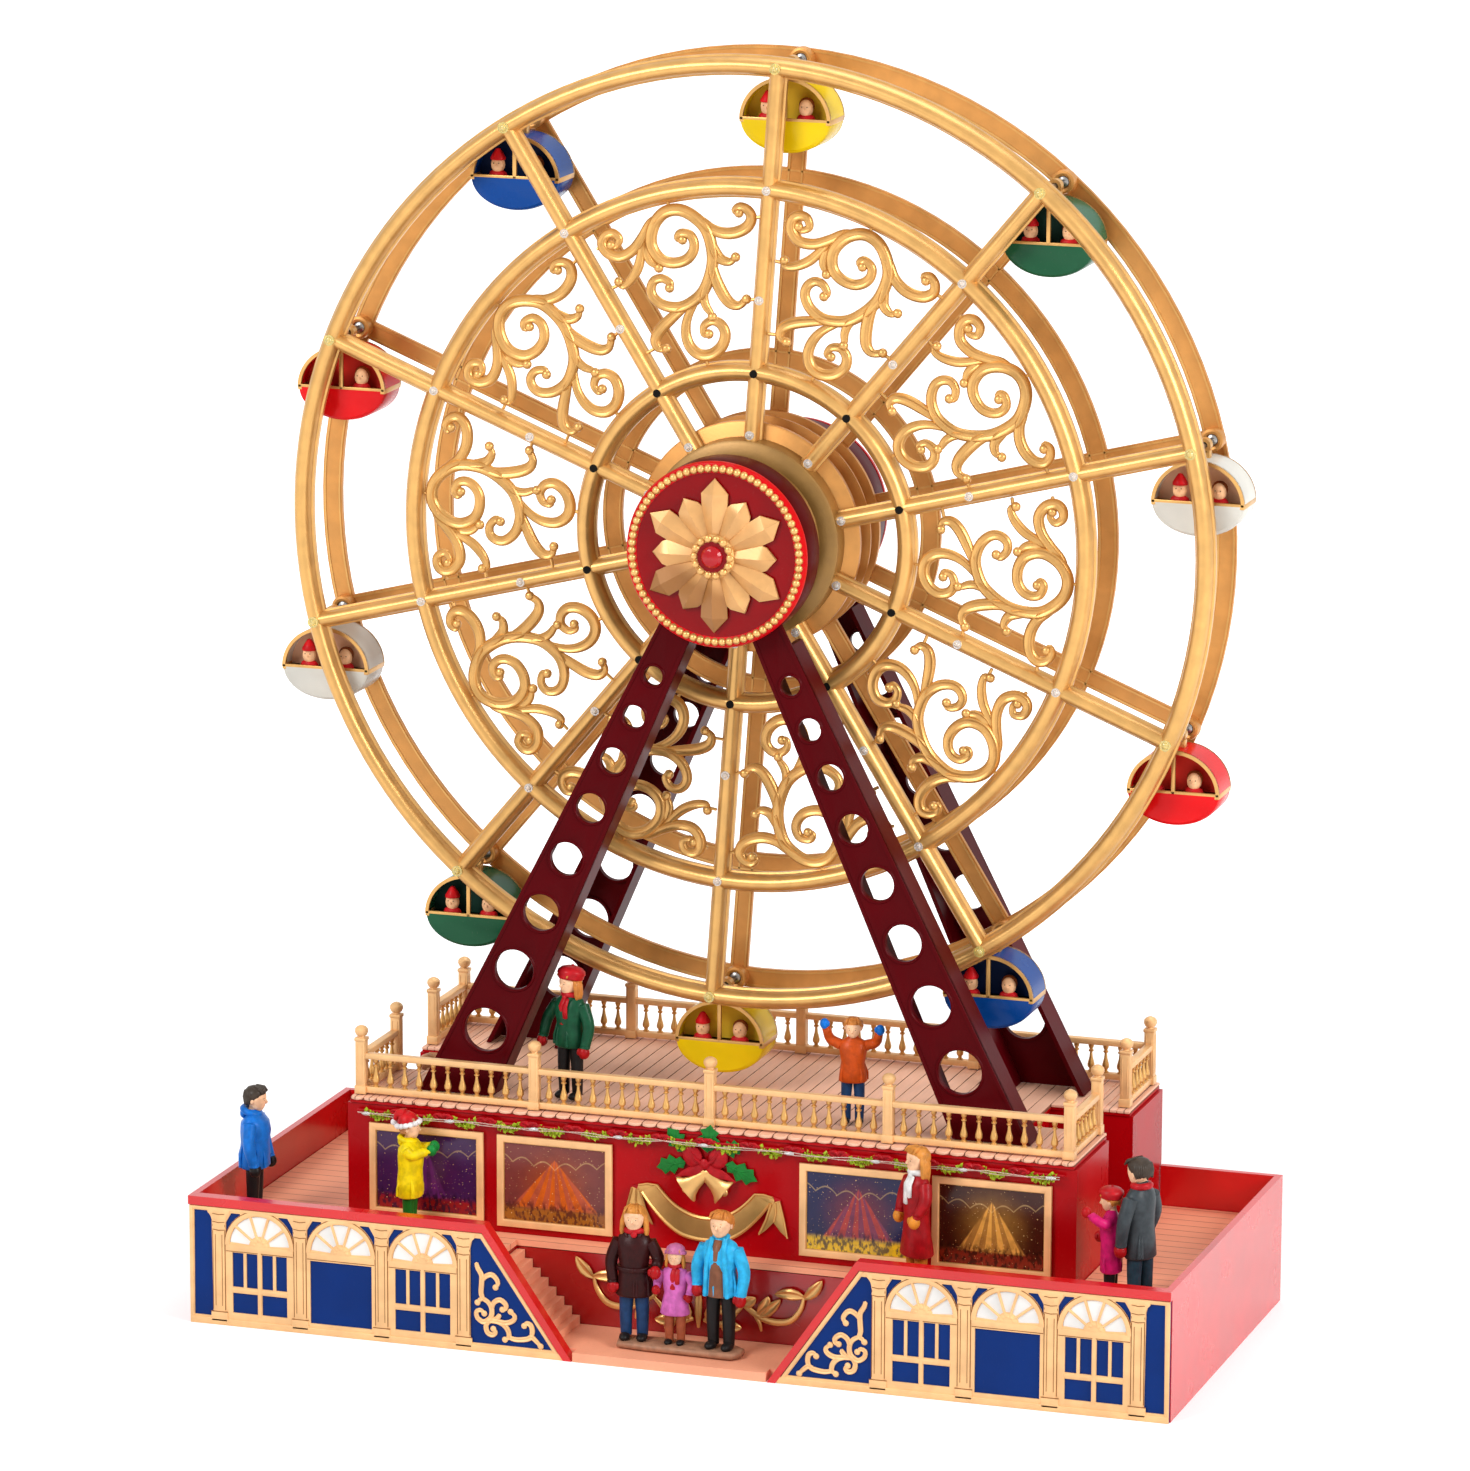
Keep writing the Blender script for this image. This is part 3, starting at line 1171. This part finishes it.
def figure(x, y, floor, height, hem, turn=0.0, hands=(HAND_DOWN, HAND_DOWN)):
    """A standing figure that faces the front before its turn, clothed down to the hem."""
    unit = height / 10.0
    body = [(0.0, 10.0), (0.8, 9.6), (0.95, 8.8), (0.5, 8.2), (1.05, 7.6), (1.3, hem),
            (0.0, hem)]
    mesh = turned([(radius * unit, -z * unit) for radius, z in body], 6)
    moved(mesh, Matrix.Rotation(math.radians(-90), 4, "X"))
    pieces = [mesh]
    side_view = ((0.4, hem + 0.4), (-0.4, hem + 0.4), (-0.4, 0.7), (-1.0, 0.5), (-1.0, 0.0),
                 (0.4, 0.0))
    for side, (out, forward, up) in zip((-1, 1), hands):
        leg = flat([[(-x * unit, z * unit) for x, z in side_view]], (side * 0.6 - 0.45) * unit,
                   (side * 0.6 + 0.45) * unit)
        pieces.append(moved(leg, Matrix.Rotation(math.radians(-90), 4, "Z")))
        shoulder = (side * 0.85 * unit, 0.0, 7.5 * unit)
        hand = (side * out * unit, forward * unit, up * unit)
        pieces.append(cone(shoulder, hand, 0.66 * unit, 0.5 * unit, 3))
    place = Matrix.Translation((x, y, floor)) @ Matrix.Rotation(turn, 4, "Z")
    return moved(joined(pieces), place)


# People on their own: (name, x, y, on the deck, height, hem, turn, hands)
WALK_Y = HOUSE_FRONT - STAND_OFF
PEOPLE = (
    ("figure_man_blue_jacket", -HALF_W + 0.01065, WALK_Y, False, 0.0470, 3.8, 2.1,
     (HAND_DOWN, HAND_DOWN)),
    ("figure_child_yellow_jumper", -0.1045, WALK_Y, False, 0.0385, 3.1, 1.9,
     (HAND_AT_FACE, HAND_AT_FACE)),
    ("figure_boy_green_jacket", -0.0575, -0.0130, True, 0.0430, 4.0, 0.1, (HAND_DOWN, HAND_DOWN)),
    ("figure_boy_orange_jumper", 0.0435, -0.0120, True, 0.0360, 3.9, 0.2, (HAND_UP, HAND_UP)),
    ("figure_woman_red_coat", 0.0740, WALK_Y, False, 0.0450, 1.9, -1.1, (HAND_DOWN, HAND_DOWN)),
    ("figure_child_beige_coat", -NOTCH_INNER - 0.0195, 0.0180, False, 0.0450, 3.1, 1.8,
     (HAND_DOWN, HAND_UP)))

# Two people who touch and share a node: (x, y, height, hem, turn, hands)
FATHER_AND_GIRL = (
    (HALF_W - 0.02015, WALK_Y, 0.0470, 3.2, -2.0, (HAND_DOWN, HAND_DOWN)),
    (HALF_W - 0.02815, WALK_Y - 0.0005, 0.0370, 2.7, -1.5, (HAND_DOWN, HAND_UP)))

# The family that holds hands on the landing: (x, height, hem), and the outline of its base
FAMILY_Y = -HALF_D + FAMILY_SETBACK
FAMILY = ((-0.0165, 0.0450, 3.3), (-0.0020, 0.0320, 3.1), (0.0130, 0.0470, 3.9))
FAMILY_OUTLINE = ((-0.0240, -0.0055), (0.0200, -0.0070), (0.0215, 0.0020), (0.0180, 0.0050),
                  (-0.0220, 0.0045))
FAMILY_HANDS = 0.0190
HAND_LINKS = ((-0.0135, -0.0040), (0.0000, 0.0090))


def make_figures():
    """The painted people on the promenade, the deck and the landing."""
    promenade = FLOOR_TOP + GAP
    for name, x, y, on_deck, height, hem, turn, hands in PEOPLE:
        floor = DECK_TOP + GAP if on_deck else promenade
        finish(figure(x, y, floor, height, hem, turn, hands), name, CLOTHES[name])

    pair = [figure(x, y, promenade, height, hem, turn, hands)
            for x, y, height, hem, turn, hands in FATHER_AND_GIRL]
    finish(joined(pair), "figure_father_and_girl", CLOTHES["figure_father_and_girl"])

    floor = LANDING_THICKNESS + GAP
    outline = [(x, FAMILY_Y + y) for x, y in FAMILY_OUTLINE]
    group = [flat([outline], floor, floor + FAMILY_BASE, "Z")]
    for x, height, hem in FAMILY:
        group.append(figure(x, FAMILY_Y, floor + FAMILY_BASE * 0.8, height, hem))
    y = FAMILY_Y - 0.0010
    for low_x, high_x in HAND_LINKS:
        group.append(rod((low_x, y, floor + FAMILY_HANDS), (high_x, y, floor + FAMILY_HANDS),
                         0.0015, 3))
    finish(joined(group), "figure_family", CLOTHES["figure_family"])


def make_electrics():
    """The speaker over its slots, and the panel at the rear."""
    floor = COVER_THICKNESS + GAP
    magnet = SPEAKER_RADIUS * 0.45
    profile = [(0.0, floor + SPEAKER_HEIGHT), (magnet, floor + SPEAKER_HEIGHT),
               (magnet, floor + SPEAKER_HEIGHT * 0.6), (SPEAKER_RADIUS, floor + 0.0015),
               (SPEAKER_RADIUS, floor), (0.0, floor)]
    speaker = turned(profile, 16)
    upright = Matrix.Rotation(math.radians(90), 4, "X")
    place = Matrix.Translation((SPEAKER_X, SPEAKER_Y, 0.0)) @ upright
    finish(moved(speaker, place), "speaker", BLACK)
    make_control_panel()


def make_control_panel():
    """A recessed panel behind the rear window that carries the switch, knob and inlet."""
    back = HALF_D - TRAY_WALL - GAP
    front = back - PANEL_THICKNESS
    half = PANEL_WIDTH / 2 + 0.003
    low = PANEL_Z - PANEL_HEIGHT / 2 - 0.002
    high = PANEL_Z + PANEL_HEIGHT / 2 + 0.002
    switch_x = PANEL_X
    knob_x = PANEL_X + PANEL_WIDTH / 3
    jack_x = PANEL_X - PANEL_WIDTH / 3
    slot_half = SLIDER_HALF + SWITCH_TRAVEL + GAP
    slot = rectangle(switch_x - slot_half, switch_x + slot_half, PANEL_Z - SLIDER_TALL - GAP,
                     PANEL_Z + SLIDER_TALL + GAP)
    panel = flat([rectangle(PANEL_X - half, PANEL_X + half, low, high), slot,
                  circle(KNOB_SHAFT + GAP, 8, (knob_x, PANEL_Z)),
                  circle(JACK_RADIUS + GAP, 12, (jack_x, PANEL_Z))], front, back)
    finish(panel, "control_panel", BLACK, smooth=False)

    grip = box((switch_x - SLIDER_HALF, switch_x + SLIDER_HALF), (front - OVERLAP, HALF_D - GAP),
               (PANEL_Z - SLIDER_TALL, PANEL_Z + SLIDER_TALL))
    foot = box((switch_x - SLIDER_FOOT_HALF, switch_x + SLIDER_FOOT_HALF),
               (front - 2 * OVERLAP, front - GAP),
               (PANEL_Z - SLIDER_FOOT_TALL, PANEL_Z + SLIDER_FOOT_TALL))
    slider = joined([grip, foot])
    finish(slider, "power_switch", BLACK, (switch_x, front, PANEL_Z), smooth=False)

    outline = []
    for ridge in range(KNOB_RIDGES):
        for share, radius in ((0.0, KNOB_RADIUS), (0.5, KNOB_RADIUS - RIDGE_DEPTH)):
            angle = math.tau * (ridge + share) / KNOB_RIDGES
            outline.append((knob_x + radius * math.cos(angle), PANEL_Z + radius * math.sin(angle)))
    shaft = rod((knob_x, front - 3 * OVERLAP, PANEL_Z), (knob_x, back + OVERLAP, PANEL_Z),
                KNOB_SHAFT, 8)
    knob = joined([flat([outline], back + GAP, HALF_D), shaft])
    axis = axis_empty("volume_axis", (knob_x, back, PANEL_Z))
    finish(knob, "volume_knob", BLACK, (knob_x, back, PANEL_Z), axis, False)

    inlet = rod((jack_x, front - JACK_REACH, PANEL_Z), (jack_x, HALF_D - 2 * GAP, PANEL_Z),
                JACK_RADIUS, 12)
    flange = rod((jack_x, front - OVERLAP - GAP, PANEL_Z), (jack_x, front - GAP, PANEL_Z),
                 JACK_FLANGE, 12)
    bore = rod((jack_x, back - JACK_REACH * 0.75, PANEL_Z), (jack_x, HALF_D + OVERRUN, PANEL_Z),
               JACK_BORE, 8)
    finish(cut(joined([inlet, flange]), [bore]), "dc_jack", BLACK)


def main():
    """Build every sub-part."""
    make_tray()
    make_bottom_cover()
    make_floor()
    make_landing()
    make_facades()
    make_house()
    make_balustrades()
    make_wheel()
    make_supports()
    make_drive()
    make_cabins()
    make_picture_frames()
    make_banner()
    make_bells()
    make_vine()
    make_garland()
    make_figures()
    make_electrics()
    bpy.data.collections.remove(BENCH)


main()
